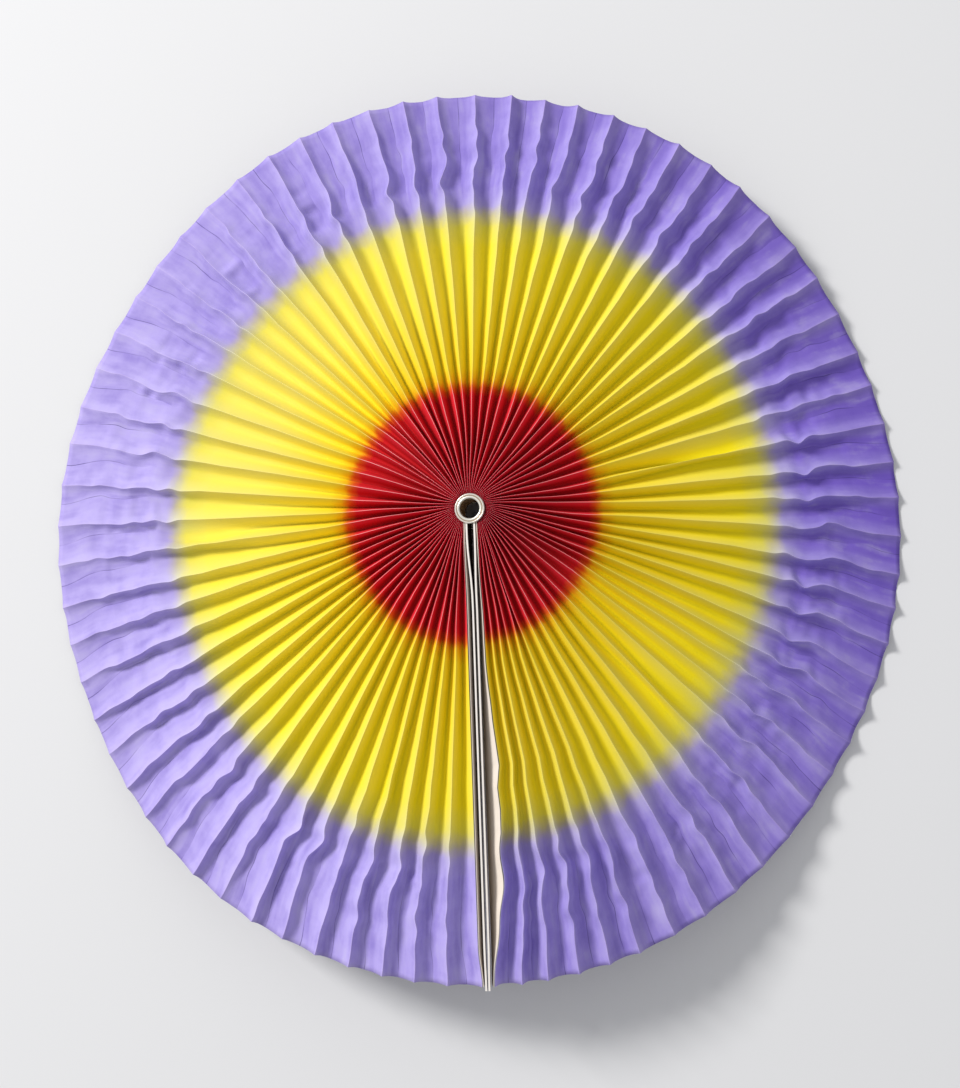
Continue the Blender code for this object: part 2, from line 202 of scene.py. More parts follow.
@dataclass(frozen=True)
class Seam:
    """The gap where the circle closes, measured sideways from its middle line."""

    card: float = 0.6 * MM  # thickness of a guard
    card_gap: float = 0.7 * MM  # between the two guards along most of their length
    card_gap_at_hub: float = 2.0 * MM
    card_gap_at_tip: float = 0.4 * MM
    overhang: float = 1.0 * MM  # guards stand this far past the rim
    proud: float = 0.25 * MM  # and this far above the ridges
    leaf: float = 0.15 * MM  # thickness of a leaf
    left_width: float = 1.05 * MM
    right_width: float = 1.2 * MM
    right_bulge: float = 2.9 * MM
    right_wave: float = 0.45 * MM
    right_wave_length: float = 19 * MM
    gap_narrows: Span = (0.06, 0.187)
    left_opened: float = 0.2
    right_opened: float = 0.3
    bulge_full: float = 0.567
    wave_grows: Span = (0.4, 0.533)
    right_closes: Span = (0.8, 1.0)
    tip_closes: Span = (0.92, 1.0)
    left_closing: float = 0.8  # how much of each opening closes again at the tips
    right_closing: float = 0.85

    def card_inner(self, radius: np.ndarray) -> np.ndarray:
        """Works out where the guards' inner faces stand.

        Args:
            radius: Distances from the hub's axis.

        Returns:
            Distance from the seam's middle to a guard's inner face.
        """
        share = radius / LAW.fold_length
        narrowed = smoothstep(*self.gap_narrows, share)
        gap = self.card_gap_at_hub + (self.card_gap - self.card_gap_at_hub) * narrowed
        closing = smoothstep(*self.tip_closes, share)
        return (gap - (self.card_gap - self.card_gap_at_tip) * closing) / 2

    def leaf_foot(self, radius: np.ndarray) -> np.ndarray:
        """Distance from the seam's middle to the near side of a leaf's foot."""
        return self.card_inner(radius) + self.card + LAW.clearance

    def plain_ridge(self, side: Side, radius: np.ndarray) -> np.ndarray:
        """Works out where an end ridge would stand without the swollen leaf.

        Args:
            side: Side of the seam.
            radius: Distances from the hub's axis.

        Returns:
            Distance from the seam's middle to the end ridge.
        """
        share, hub = radius / LAW.fold_length, LAW.hub_radius / LAW.fold_length
        least = self.leaf_foot(radius) + self.leaf + LAW.clearance
        if side is Side.LEFT:
            opened = self.left_width * smoothstep(hub, self.left_opened, share)
            closing = self.left_width * smoothstep(*self.tip_closes, share)
            return least + opened - self.left_closing * closing
        opened = self.right_width * smoothstep(hub, self.right_opened, share)
        closed = self.right_closing * smoothstep(*self.right_closes, share)
        return least + opened * (1 - closed)

    def ridge(self, side: Side, radius: np.ndarray) -> np.ndarray:
        """Works out where an end ridge stands, pushed out by a swollen leaf on the right.

        Args:
            side: Side of the seam.
            radius: Distances from the hub's axis.

        Returns:
            Distance from the seam's middle to the end ridge.
        """
        if side is Side.LEFT:
            return self.plain_ridge(side, radius)
        share = radius / LAW.fold_length
        swell = self.right_bulge * smoothstep(self.right_opened, self.bulge_full, share)
        closing = smoothstep(*self.right_closes, share)
        waving = smoothstep(*self.wave_grows, share) * (1 - closing)
        wave = self.right_wave * np.sin(2 * math.pi * radius / self.right_wave_length)
        pushed = swell * (1 - self.right_closing * closing) + wave * waving
        return self.plain_ridge(side, radius) + pushed


SEAM = Seam()


def add_node(
    tree: Tree, kind: str, links: Optional[dict] = None, output: Any = 0, **settings: Any
) -> Socket:
    """Adds one node with its settings, values and links.

    Args:
        tree: Node tree to add to.
        kind: The node's type name, without the leading "ShaderNode".
        links: Maps an input's name or index to a value, or to the output socket that feeds it.
        output: Name or index of the wanted output.
        settings: Properties of the node itself.

    Returns:
        The wanted output socket of the new node.
    """
    node = tree.nodes.new("ShaderNode" + kind)
    for name, value in settings.items():
        setattr(node, name, value)
    for name, value in (links or {}).items():
        if isinstance(value, Socket):
            tree.links.new(value, node.inputs[name])
        else:
            node.inputs[name].default_value = value
    return node.outputs[output]


def set_stops(colour: Socket, stops: tuple) -> None:
    """Sets the stops of the colour ramp that gives this colour.

    Args:
        colour: Output socket of a new colour ramp.
        stops: Pairs of a position and a linear colour.
    """
    ramp = colour.node.color_ramp
    for _ in range(len(stops) - len(ramp.elements)):
        ramp.elements.new(0.5)
    for element, (position, shown) in zip(ramp.elements, stops):
        element.position = position
        element.color = shown


def closed_layer(name: str, upper: np.ndarray, lower: np.ndarray) -> bpy.types.Object:
    """Makes a closed sheet from two matching grids of points.

    Args:
        name: Name of the new object.
        upper: Points of the upper side, by column and row.
        lower: Points of the lower side, in the same order.

    Returns:
        The new object, linked to the scene.
    """
    columns, rows = upper.shape[:2]
    count = columns * rows
    at = np.arange(count).reshape(columns, rows)
    quads = np.stack([at[:-1, :-1], at[:-1, 1:], at[1:, 1:], at[1:, :-1]], -1).reshape(-1, 4)
    border = np.concatenate([at[:, 0], at[-1, 1:], at[-2::-1, -1], at[0, -2:0:-1]])
    onward = np.roll(border, -1)
    walls = np.stack([border, onward, onward + count, border + count], -1)
    # Both sides split along the same diagonal, so they can't cross in a bent cell.
    faces = np.concatenate([quads, quads[:, [0, 3, 2, 1]] + count, walls])
    mesh = bpy.data.meshes.new(name)
    points = np.concatenate([upper.reshape(-1, 3), lower.reshape(-1, 3)])
    mesh.from_pydata(points.tolist(), [], faces.tolist())
    piece = bpy.data.objects.new(name, mesh)
    bpy.context.scene.collection.objects.link(piece)
    return piece


def give(piece: bpy.types.Object, node: str, material: bpy.types.Material) -> None:
    """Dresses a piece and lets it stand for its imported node.

    Args:
        piece: The finished object.
        node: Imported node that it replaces.
        material: Its finish.
    """
    piece.data.materials.append(material)
    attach(piece, BODY)
    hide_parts(node)
    LOG.info("%s stands for %s, %d faces", piece.name, node, len(piece.data.polygons))


@dataclass(frozen=True)
class StripPlace:
    """Where a shaded point lies on the flat strip, as sockets of one node tree."""

    tree: Tree
    place: Socket

    @cached_property
    def parts(self) -> Any:
        """Sockets with millimetres along the strip, millimetres out, and the side: 1 is dyed."""
        return add_node(self.tree, "SeparateXYZ", {0: self.place}).node.outputs

    @cached_property
    def from_ridge(self) -> Socket:
        """Millimetres from the nearest ridge."""
        folded = {0: self.parts["X"], 1: LAW.pleat_width / MM}
        return add_node(self.tree, "Math", folded, operation="PINGPONG")

    def fade(self, value: Socket, ends: Span, levels: tuple = (0.0, 1.0)) -> Socket:
        """Fades from one level to another while a value runs between two ends."""
        return add_node(self.tree, "MapRange", dict(enumerate((value, *ends, *levels))))

    def round_circle(self, levels: Levels) -> Socket:
        """Gives a level that changes slowly along the strip, and so round the circle.

        Args:
            levels: Pairs of a share of the strip's length and the level there.

        Returns:
            The level.
        """
        length = LAW.folds * LAW.pleat_width / MM
        turn = self.fade(self.parts["X"], (0.0, length))
        level = add_node(self.tree, "ValToRGB", {0: turn})
        set_stops(level, tuple((at, (grey, grey, grey, 1.0)) for at, grey in levels))
        return level


@dataclass(frozen=True)
class DyedPaper:
    """Thin uncoated tissue paper, folded and then dip-dyed from both ends of the stack.

    The dye bleeds into soft rings and dries in blotches and fibre streaks, which the eye reads as
    hand-dyed matt paper. Light is painted over it: paler ridges, partly worn dye and partly painted
    highlight; darker valleys, painted shade; and a paler side towards the key lamp, painted light.
    The rings give the colour on the ridges and in the valleys, by share.
    """

    name: str = "dip_dyed_tissue_paper"
    # Each ring's ridge colour is paler, painted highlight, and its valley colour deeper, painted
    # shade.
    rings: tuple = (
        (0.0, "c8122e", "a00618"),
        (0.12, "e21c3a", "ba0a18"),
        (0.262, "ea2c3c", "ca0e16"),
        (0.28, "ea6e20", "d85806"),
        (0.296, "f0cc20", "efbe00"),
        (0.325, "edd63e", "f5db00"),
        (0.5, "ebd856", "f4df00"),
        (0.62, "e9da5a", "eedb06"),
        (0.67, "e1d87c", "dcd046"),
        (0.7, "cfcab8", "b8ae90"),
        (0.724, "bdb4da", "9a8cc4"),
        (0.77, "a091d6", "7a62c0"),
        (1.0, "927fca", "6e54b8"),
    )
    undyed: str = "dcd8de"
    # Colour of the pale ridge lines: partly worn dye, partly painted highlight
    worn: str = "f8dcd4"
    deep_purple: str = "5e46aa"
    # Colours of the painted light on the purple and the lemon
    painted_light_purple: str = "cabeec"
    painted_light_lemon: str = "ecdf8c"
    # Colour of the dark valley lines: painted shade
    crease: str = "35286a"
    roughness: float = 0.82
    specular: float = 0.3
    # How deep the dye rose, and how much paler the purple and the lemon are on the side towards the
    # key lamp, painted light: levels round the circle
    dipped: Levels = (
        (0.0, 0.0), (0.08, 0.05), (0.2, 0.5), (0.5, 0.6), (0.7, 0.65), (0.85, 0.95), (1.0, 0.6)
    )
    dip_depth: Span = (0.972, 1.014)
    painted_light_on_purple: Levels = (
        (0.0, 0.5), (0.29, 0.6), (0.48, 0.32), (0.62, 0.08), (0.73, 0.0), (0.85, 0.22), (1.0, 0.42)
    )
    painted_light_on_lemon: Levels = (
        (0.0, 0.0), (0.2, 0.06), (0.3, 0.42), (0.4, 0.32), (0.5, 0.04), (0.65, 0.0), (1.0, 0.04)
    )
    bleed_mm: float = 5.0
    bleed_reach_mm: float = 4.0
    # Share of a face over which the ridge colour turns to the valley colour: painted shade
    valley_shade_share: float = 0.7
    purple_starts: Span = (0.7, 0.76)
    lemon_starts: Span = (0.3, 0.5)
    lemon_ends: Span = (0.63, 0.69)
    # Blotches and streaks: noise at which a wash starts, noise at which it is full, its strength
    blotch_mm: float = 9.0
    streak_per_mm: tuple = (0.35, 0.06, 1.0)
    thick_dye: tuple = (0.95, 1.35, 0.4)
    thin_dye: tuple = (0.95, 0.6, 0.2)
    # Paler ridge lines, partly worn dye and partly painted highlight, and dark valley lines,
    # painted shade; both wider than real creases so that they show
    crease_mm: float = 0.25
    red_ends: Span = (0.26, 0.32)
    worn_and_highlit_beyond_red: float = 0.08
    valley_shade_mm: float = 0.22
    valley_shade_starts: Span = (0.76, 0.88)
    valley_shade_break_mm: float = 14.0
    valley_shade_breaks: Span = (0.4, 0.6)
    valley_shade_strength: Span = (0.1, 0.8)
    paler_back: float = 0.4
    fibre_mm: float = 0.9
    fibre_length_mm: float = 11.0
    fibre_strength: float = 0.5
    bump_mm: float = 0.05

    def material(self) -> bpy.types.Material:
        """Builds the dyed paper's node material.

        Returns:
            The new material.
        """
        made = bpy.data.materials.new(self.name)
        made.use_nodes = True
        tree = made.node_tree
        shader = tree.nodes["Principled BSDF"]
        place = add_node(tree, "Attribute", None, "Vector", attribute_name="strip_mm")
        at = StripPlace(tree, place)
        share = self.dye_share(at)
        colour = self.mottled(at, share, self.ringed(at, share))
        tree.links.new(self.creased(at, share, colour), shader.inputs["Base Color"])
        tree.links.new(self.fibres(at), shader.inputs["Normal"])
        shader.inputs["Roughness"].default_value = self.roughness
        shader.inputs["Specular IOR Level"].default_value = self.specular
        return made

    def dye_share(self, at: StripPlace) -> Socket:
        """Works out how far out a point lies for the dye, which bled unevenly.

        Args:
            at: Place on the strip.

        Returns:
            The share at which the point takes its ring's colour.
        """
        tree = at.tree
        noise = {"Vector": at.place, "Scale": 1 / self.bleed_mm, "Detail": 3.0}
        bled = {0: add_node(tree, "TexNoise", noise)}
        bled |= {1: self.bleed_reach_mm, 2: -self.bleed_reach_mm / 2}
        wander = add_node(tree, "Math", bled, operation="MULTIPLY_ADD")
        level = at.round_circle(self.dipped)
        depth = at.fade(level, (0.0, 1.0), self.dip_depth)
        dipped = add_node(tree, "Math", {0: at.parts["Y"], 1: depth}, operation="MULTIPLY")
        spread = add_node(tree, "Math", {0: dipped, 1: wander}, operation="ADD")
        return add_node(tree, "Math", {0: spread, 1: LAW.fold_length / MM}, operation="DIVIDE")

    def ringed(self, at: StripPlace, share: Socket) -> Socket:
        """Colours the rings, darker towards the valleys as painted shade, with paler ridges as
        painted highlight.

        Args:
            at: Place on the strip.
            share: Share for the dye.

        Returns:
            The colour of the ring.
        """
        valley_shade_reach = self.valley_shade_share * LAW.pleat_width / MM
        mix = {0: at.fade(at.from_ridge, (0.0, valley_shade_reach))}
        for side, crease in ((6, Crease.RIDGE), (7, Crease.VALLEY)):
            mix[side] = add_node(at.tree, "ValToRGB", {0: share})
            stops = tuple((stop[0], linear(stop[crease.value])) for stop in self.rings)
            set_stops(mix[side], stops)
        return add_node(at.tree, "Mix", mix, 2, data_type="RGBA")

    def washed(self, at: StripPlace, colour: Socket, wash: str, *strengths: Socket) -> Socket:
        """Lays a wash of another colour over the dye.

        Args:
            at: Place on the strip.
            colour: Colour so far.
            wash: Hex colour of the wash.
            strengths: Values that are multiplied to give the wash's strength.

        Returns:
            The washed colour.
        """
        strength = strengths[0]
        for more in strengths[1:]:
            strength = add_node(at.tree, "Math", {0: strength, 1: more}, operation="MULTIPLY")
        mix = {0: strength, 6: colour, 7: linear(wash)}
        return add_node(at.tree, "Mix", mix, 2, data_type="RGBA")

    def mottled(self, at: StripPlace, share: Socket, colour: Socket) -> Socket:
        """Adds blotches of thicker and thinner dye, and pales the purple and the lemon on the side
        towards the key lamp: painted light.

        Args:
            at: Place on the strip.
            share: Share for the dye, which keeps each wash to its ring.
            colour: Ring colour so far.

        Returns:
            The colour with blotches.
        """
        tree = at.tree
        noise = {"Vector": at.place, "Scale": 1 / self.blotch_mm, "Detail": 4.0, "Roughness": 0.6}
        blotch = add_node(tree, "TexNoise", noise)
        drawn_out = {0: at.place, 1: self.streak_per_mm}
        streaked = add_node(tree, "VectorMath", drawn_out, operation="MULTIPLY")
        streak = add_node(tree, "TexNoise", {"Vector": streaked, "Scale": 1.0, "Detail": 3.0})
        both = add_node(tree, "Math", {0: blotch, 1: streak}, operation="ADD")
        purple = at.fade(share, self.purple_starts)
        lemon = at.fade(share, self.lemon_starts)
        inner = at.fade(share, self.lemon_ends, (1.0, 0.0))
        # Painted light: the lemon and the purple are paler on the side of the circle towards the
        # key lamp.
        painted_light_on_lemon = at.round_circle(self.painted_light_on_lemon)
        colour = self.washed(at, colour, self.painted_light_lemon, painted_light_on_lemon, lemon, inner)
        painted_light_on_purple = at.round_circle(self.painted_light_on_purple)
        colour = self.washed(at, colour, self.painted_light_purple, painted_light_on_purple, purple)
        for dye, wash in ((self.thick_dye, self.deep_purple), (self.thin_dye, self.undyed)):
            strength = at.fade(both, dye[:2], (0.0, dye[2]))
            colour = self.washed(at, colour, wash, strength, purple)
        return colour

    def creased(self, at: StripPlace, share: Socket, colour: Socket) -> Socket:
        """Pales the ridges, partly worn dye and partly painted highlight, draws broken dark lines
        in the outer valleys as painted shade, and pales the back.

        Args:
            at: Place on the strip.
            share: Share for the dye: the red ring's ridges are paled most.
            colour: Colour so far.

        Returns:
            The finished colour.
        """
        tree = at.tree
        # Paler ridges: partly worn dye, partly painted highlight.
        most = at.fade(share, self.red_ends, (1.0, self.worn_and_highlit_beyond_red))
        worn = at.fade(at.from_ridge, (0.0, self.crease_mm), (most, 0.0))
        colour = self.washed(at, colour, self.worn, worn)
        width = LAW.pleat_width / MM
        # Painted shade: dark broken lines along the outer valleys.
        line = at.fade(at.from_ridge, (width - self.valley_shade_mm, width))
        outer = at.fade(share, self.valley_shade_starts)
        noise = {"Vector": at.place, "Scale": 1 / self.valley_shade_break_mm, "Detail": 2.0}
        broken = add_node(tree, "TexNoise", noise)
        broken = at.fade(broken, self.valley_shade_breaks, self.valley_shade_strength)
        colour = self.washed(at, colour, self.crease, line, outer, broken)
        back = at.fade(at.parts["Z"], (1.0, 0.0), (0.0, self.paler_back))
        return self.washed(at, colour, self.undyed, back)

    def fibres(self, at: StripPlace) -> Socket:
        """Raises fine fibres that run along the folds.

        Args:
            at: Place on the strip.

        Returns:
            The bumpy normal.
        """
        drawn_out = {0: at.place, 1: (1 / self.fibre_mm, 1 / self.fibre_length_mm, 1.0)}
        stretched = add_node(at.tree, "VectorMath", drawn_out, operation="MULTIPLY")
        fibre = add_node(at.tree, "TexNoise", {"Vector": stretched, "Scale": 1.0, "Detail": 4.0})
        raised = {"Height": fibre, "Strength": self.fibre_strength, "Distance": self.bump_mm * MM}
        return add_node(at.tree, "Bump", raised, "Normal")


@dataclass
class PleatedSheet:
    """The dyed strip, finely folded.

    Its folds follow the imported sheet. Each face gets several columns, so that it can swell and
    crumple a little, and the ring of handling kinks gets closely spaced rows. Where a pair of
    shares is given, a form grows, eases or fades between them.
    """

    # Gathering and twist, as (half waves round the circle, degrees)
    gathers: Levels = (
        (1, 4.3), (2, -5.4), (3, -0.4), (4, -3.0), (7, 0.4), (8, -0.5), (9, 0.4), (10, -0.3)
    )
    twists: Levels = (
        (1, 1.4), (3, 0.3), (4, 0.9), (5, 0.6), (7, 1.3), (10, -1.0), (11, -0.3), (14, 0.8)
    )
    twist_ease: float = 3.0  # the twist is full from the hub out to a quarter of a fold
    rim_jitter: float = 0.12
    hub_jitter: float = 0.30
    hub_fade: float = 1.0
    jitter_seed: int = 7
    bunching: float = 0.5
    bunching_grows: Span = (0.035, 0.09)
    bunching_fades: Span = (0.2, 0.36)
    # Handling kinks: each fold jogs one way and then the other
    kink_inner: float = 0.775
    kink_outer: float = 0.822
    kink_breadth: float = 0.017
    kink_tail: float = 0.07  # the outer jog eases off slowly towards the rim
    kink_angle: float = math.radians(0.42)
    kink_turn: float = math.radians(20)
    kink_aside: float = 0.35
    kink_held: float = 0.1
    valley_kink: float = 0.3
    kink_spread: float = 0.75
    # Pinched pleats, as (ridge fold, middle and half length as shares, closing)
    pinches: tuple = (
        (102, 0.54, 0.2, 1.0), (36, 0.64, 0.1, 0.7), (126, 0.56, 0.12, 0.6), (8, 0.6, 0.14, 0.5)
    )
    pinch_angle: float = math.radians(0.5)
    bulge_reach: float = 0.06  # share of the strip that gives way beside the swollen leaf
    # Sag: the valleys hang over towards the guards
    sag_aside: float = 0.45
    sag_at_guards: float = 0.15
    sag_grows: Span = (0.1, 0.8)
    sag_eases: Span = (0.88, 1.0)
    sag_easing: float = 0.85
    # Wavering folds, loose in the kinked ring and held at the ends of the strip
    waver: float = 0.6 * MM
    waver_step_mm: float = 4.5
    waver_grows: Span = (0.2, 0.5)
    loose_grows: Span = (0.55, 0.76)
    loose_eases: Span = (0.88, 0.97)
    loose_easing: float = 0.8
    least_loose: float = 0.15
    held_folds: int = 3
    # Section of a face: rolled crown, hooked slope, swelling and crumples
    face_steps: tuple = (0.0, 0.14, 0.32, 0.6, 1.0)
    crown: float = 0.09 * MM
    crown_drop: float = 0.05 * MM
    most_crown: float = 0.3
    hook: float = 2.2
    hook_turn: float = math.radians(64)
    hook_least: float = 0.4
    hook_onset: float = 2.2
    hook_grows: Span = (0.35, 0.8)
    dent: float = 0.4 * MM
    dent_step_mm: float = 9.0
    dent_grows: Span = (0.2, 0.65)
    crumple: float = 1.0 * MM
    crumple_step_mm: float = 3.0
    crumple_grows: Span = (0.7, 0.77)
    crumple_fades: Span = (0.84, 0.92)
    crumple_choice: float = 1.5  # above 1, fewer faces are crumpled much
    noise_seed: int = 21
    thickest: float = 0.9  # upright thickness of the paper, as a share of the pleat's depth
    # Rows out from the hub, closest together in the ring
    ring: Span = (0.69, 0.91)
    inner_crowding: float = 1.3
    inner_rows: int = 18
    ring_rows: int = 36
    outer_rows: int = 8

    @cached_property
    def radii(self) -> np.ndarray:
        """Spaces the rows out from the hub.

        Returns:
            Distance of each row from the hub's axis.
        """
        start, end = (share * LAW.fold_length for share in self.ring)
        spread = np.linspace(0, 1, self.inner_rows + 1) ** self.inner_crowding
        inner = LAW.hub_radius + (start - LAW.hub_radius) * spread
        ring = np.linspace(start, end, self.ring_rows + 1)[1:]
        outer = np.linspace(end, LAW.fold_length, self.outer_rows + 1)[1:]
        return np.concatenate([inner, ring, outer])

    @cached_property
    def row_shares(self) -> np.ndarray:
        """The rows' distances as shares."""
        return self.radii / LAW.fold_length

    def shifts(self, seed: int, size: float) -> np.ndarray:
        """Draws a random shift for each fold.

        Args:
            seed: Seed of the random values.
            size: Largest shift.

        Returns:
            One shift for each fold, none at the two ends.
        """
        source = random.Random(seed)
        drawn = np.array([source.uniform(-size, size) for _ in range(LAW.folds + 1)])
        drawn[0] = drawn[-1] = 0.0
        return drawn

    def soft_noise(self, columns: int, step_mm: float, seed: int) -> np.ndarray:
        """Draws smooth random values along each column, independent from column to column.

        Args:
            columns: Number of columns.
            step_mm: Distance between the random values that are blended.
            seed: Seed of the random values.

        Returns:
            Values from about -1 to 1, by column and row.
        """
        marks = self.radii / MM / step_mm
        cell = np.floor(marks).astype(int)
        blend = smoothstep(0, 1, marks - cell)[None, :]
        drawn = np.random.default_rng(seed).uniform(-1, 1, (columns, cell.max() + 2))
        return drawn[:, cell] * (1 - blend) + drawn[:, cell + 1] * blend

    def waves(self, sizes: Levels, even: np.ndarray) -> np.ndarray:
        """Sum of sine waves round the circle, as shares of a full turn."""
        return sum(size * np.sin(math.pi * waves * even) for waves, size in sizes) / 360

    @cached_property
    def shares(self) -> np.ndarray:
        """Spreads the folds round the circle, unevenly and with a twist.

        Returns:
            Place of each fold along the opened strip, from 0 to 1, by fold and row.
        """
        even = np.arange(LAW.folds + 1) / LAW.folds
        rim = even + self.waves(self.gathers, even)
        rim = rim + self.shifts(self.jitter_seed, self.rim_jitter) / LAW.folds
        hub = even + self.shifts(self.jitter_seed + 1, self.hub_jitter) / LAW.folds
        fade = (LAW.hub_radius / self.radii)[None, :] ** self.hub_fade
        straight = np.minimum(1.0, (LAW.fold_length / self.radii - 1) / self.twist_ease)
        twisted = self.waves(self.twists, even)[:, None] * straight[None, :]
        return (rim[:, None] + twisted) * (1 - fade) + hub[:, None] * fade

    def bunched(self) -> np.ndarray:
        """Works out how unevenly the ridges bunch near the hub.

        Returns:
            Shift of each fold at each row, as a share of the opened strip.
        """
        ridges = self.shifts(self.jitter_seed + 4, self.bunching)
        ridges[1:-1:2] = (ridges[:-2:2] + ridges[2::2]) / 2
        near = smoothstep(*self.bunching_grows, self.row_shares)
        near = near * (1 - smoothstep(*self.bunching_fades, self.row_shares))
        return ridges[:, None] * near[None, :] / LAW.folds

    def kink(self, azimuth: np.ndarray) -> np.ndarray:
        """Works out the sideways jog of every fold in the kinked ring.

        Args:
            azimuth: Azimuth of each fold at each row, before the jog.

        Returns:
            The jog as an angle, strong on ridges and weak on valleys.
        """
        share = self.row_shares[None, :]
        inward = np.exp(-(((share - self.kink_inner) / self.kink_breadth) ** 2))
        beyond = share - self.kink_outer
        beyond = beyond / np.where(beyond > 0, self.kink_tail, self.kink_breadth)
        inner = 1 + self.shifts(self.jitter_seed + 2, self.kink_spread)[:, None]
        outer = 1 + self.shifts(self.jitter_seed + 3, self.kink_spread)[:, None]
        jog = outer * np.exp(-(beyond**2)) - inner * inward
        strength = np.cos(2 * azimuth - self.kink_turn) - self.kink_aside * np.sin(azimuth)
        held = smoothstep(0, self.kink_held, 1 - np.abs(azimuth) / math.pi)
        valley = (np.arange(LAW.folds + 1) % 2)[:, None]
        part = 1 - (1 - self.valley_kink) * valley
        return self.kink_angle * strength * held * part * jog

    def sag(self, azimuth: np.ndarray) -> np.ndarray:
        """Works out how far the valleys lie off the middle between their ridges.

        Args:
            azimuth: Azimuth of each fold at each row.

        Returns:
            The sideways shift in fold spacings.
        """
        eased = self.sag_easing * smoothstep(*self.sag_eases, self.row_shares)
        window = (smoothstep(*self.sag_grows, self.row_shares) * (1 - eased))[None, :]
        aside = -self.sag_aside * np.sin(azimuth)
        return (aside + self.sag_at_guards * (1 - np.cos(azimuth)) / 2) * window

    def wavered(self) -> np.ndarray:
        """Works out how the folds waver from side to side.

        Returns:
            The wavering as an angle, by fold and row.
        """
        fold = np.arange(LAW.folds + 1)[:, None]
        eased = self.loose_easing * smoothstep(*self.loose_eases, self.row_shares)
        loose = (smoothstep(*self.loose_grows, self.row_shares) * (1 - eased))[None, :]
        freed = np.minimum(1, np.minimum(fold, LAW.folds - fold) / self.held_folds)
        loose = (self.least_loose + (1 - self.least_loose) * loose) * freed
        noise = self.soft_noise(LAW.folds + 1, self.waver_step_mm, self.noise_seed + 1)
        grown = smoothstep(*self.waver_grows, self.row_shares)[None, :]
        return noise * self.waver / self.radii[None, :] * loose * grown

    @cached_property
    def azimuths(self) -> np.ndarray:
        """Lays every fold out in plan, with its sag, kinks, wavering and pinches.

        Returns:
            Azimuth of each fold at each row.
        """
        radii = self.radii[None, :]
        left = -math.pi + np.arcsin(SEAM.plain_ridge(Side.LEFT, radii) / radii)
        right = math.pi - np.arcsin(SEAM.plain_ridge(Side.RIGHT, radii) / radii)
        swollen = math.pi - np.arcsin(SEAM.ridge(Side.RIGHT, radii) / radii)
        fold = np.arange(LAW.folds + 1)[:, None]
        plain = left + (self.shares + self.bunched()) * (right - left)
        plain = plain + (swollen - right) * np.exp((fold / LAW.folds - 1) / self.bulge_reach)
        hung = self.sag(plain) * (fold % 2) * (right - left) / LAW.folds
        azimuths = plain + hung + self.kink(plain) + self.wavered()
        for ridge, middle, half_length, closing in self.pinches:
            along = (self.row_shares - middle) / half_length
            for side in (-1, 1):
                beside = azimuths[ridge] + side * self.pinch_angle
                short = beside - azimuths[ridge + side]
                azimuths[ridge + side] += short * closing * np.exp(-(along**2))
        return azimuths

    def hooked(self) -> np.ndarray:
        """Works out how steeply each face leaves its ridge before it levels out.

        The creases of the ridges stay sharp where the valleys have opened, most of all on the
        side to which the pleats hang over.

        Returns:
            The exponent of each face's slope at each row: 1 is a flat face.
        """
        turn = np.sin((self.azimuths[:-1] + self.azimuths[1:]) / 2 + self.hook_turn)
        clockwise = np.where(np.arange(LAW.folds) % 2 == 0, 1.0, -1.0)[:, None]
        hanging = np.clip(self.hook_onset * turn * clockwise, 0, 1)
        hanging = self.hook_least + (1 - self.hook_least) * hanging
        outer = smoothstep(*self.hook_grows, self.row_shares)[None, :]
        return (1 + self.hook * hanging * outer)[:, None]

    def spans(self) -> np.ndarray:
        """Breadth of each face as seen from above, at each row."""
        return np.diff(self.azimuths, axis=0) * self.radii[None, :]

    @cached_property
    def depths(self) -> np.ndarray:
        """Works out how deep the pleats stay when their faces keep their width.

        Returns:
            Height from valley to ridge at each fold and row.
        """
        span = self.spans()
        mean = np.concatenate([span[:1], (span[1:] + span[:-1]) / 2, span[-1:]])
        least = (LAW.least_depth * LAW.pleat_width) ** 2
        return np.sqrt(np.maximum(LAW.pleat_width**2 - mean**2, least))

    @cached_property
    def walls(self) -> np.ndarray:
        """Works out how thick the paper is when measured upright.

        Returns:
            The upright thickness at each fold and row.
        """
        span = self.spans()
        least = np.concatenate([span[:1], np.minimum(span[1:], span[:-1]), span[-1:]])
        return np.minimum(LAW.paper * LAW.pleat_width / least, self.thickest * self.depths)

    def heights(self) -> np.ndarray:
        """Works out the height of the dyed side above the middle surface.

        Returns:
            The height at each fold and row.
        """
        ridge = (self.depths + LAW.paper) / 2
        upward = (np.arange(LAW.folds + 1) % 2 == 0)[:, None]
        return np.where(upward, ridge, self.walls - ridge)

    def swollen(self) -> np.ndarray:
        """Works out how far the faces are dented: softly all over, sharply in the kinked ring.

        Returns:
            Depth of the dents at each face and row.
        """
        free = smoothstep(*self.dent_grows, self.row_shares)[None, :]
        dents = self.dent * free * self.soft_noise(LAW.folds, self.dent_step_mm, self.noise_seed)
        ring = smoothstep(*self.crumple_grows, self.row_shares)
        ring = ring * (1 - smoothstep(*self.crumple_fades, self.row_shares))
        noise = self.soft_noise(LAW.folds, self.crumple_step_mm, self.noise_seed + 2)
        much = np.abs(self.shifts(self.jitter_seed + 5, 1.0))[:-1, None] ** self.crumple_choice
        return (dents + self.crumple * ring * much * noise)[:, None, :]

